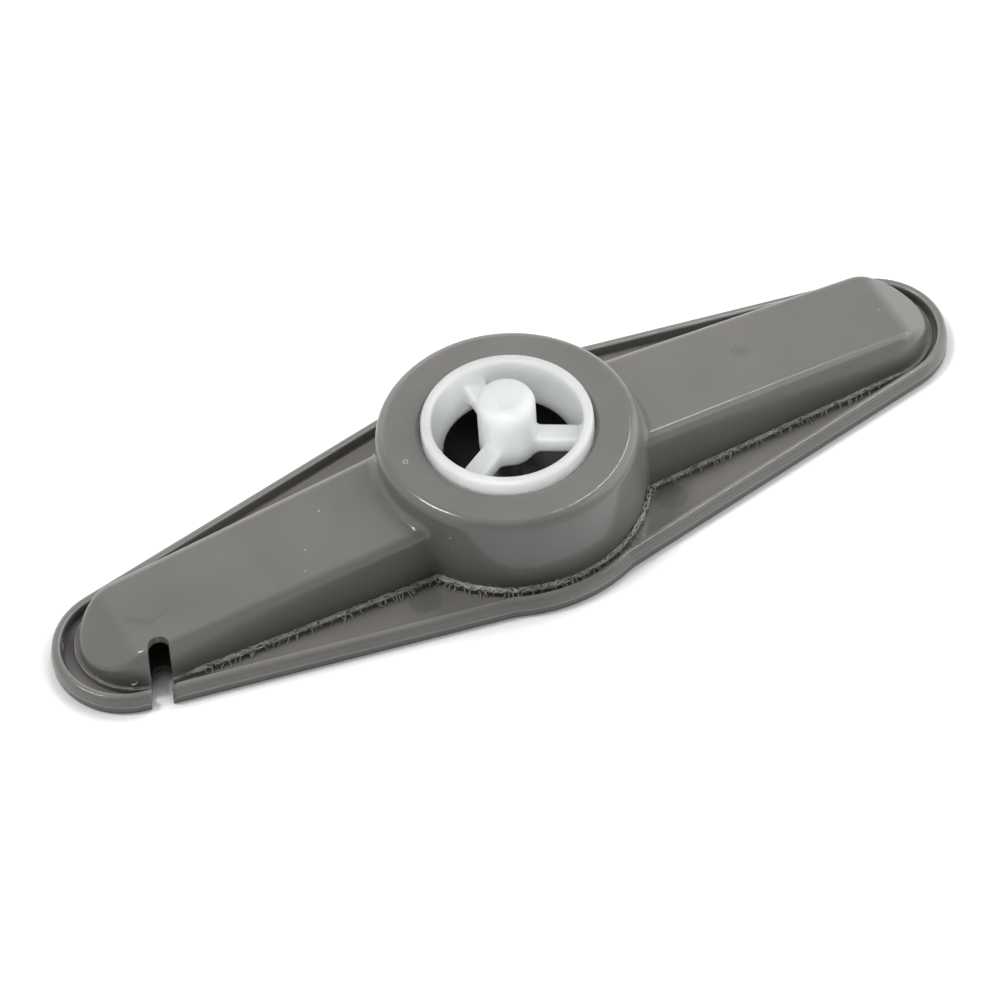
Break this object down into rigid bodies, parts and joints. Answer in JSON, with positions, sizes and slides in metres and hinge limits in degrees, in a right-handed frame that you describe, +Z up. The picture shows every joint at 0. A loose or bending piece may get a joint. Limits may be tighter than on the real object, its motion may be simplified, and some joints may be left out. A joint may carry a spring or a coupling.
{
  "type": "dishwasher spray arm",
  "caption": "Hollow grey plastic dishwasher spray arm: a tapered shell welded to a rimmed plate with spray slots, turning on a white spoked bearing insert set in its round hub.",
  "frame": {"origin": "point of the hub's axis in the plane of the plate's underside", "axes": "+X along the arms, away from the driving slot; +Z up the hub's axis, out of the feed post"},
  "size_m": [0.2208, 0.0708, 0.033],
  "materials": {
    "grey_shell": "satin moulded polypropylene",
    "grey_plate": "satin moulded polypropylene",
    "white_insert": "smooth white acetal"
  },
  "bodies": {
    "arm": {"arm_shell": "grey_shell", "spray_plate": "grey_plate"},
    "insert": {"bearing_insert": "white_insert"}
  },
  "joints": [
    {"name": "insert_spin", "type": "hinge", "parent": "arm", "child": "insert", "pos_m": [0, 0, 0.026], "axis": [0, 0, 1], "continuous": true}
  ]
}
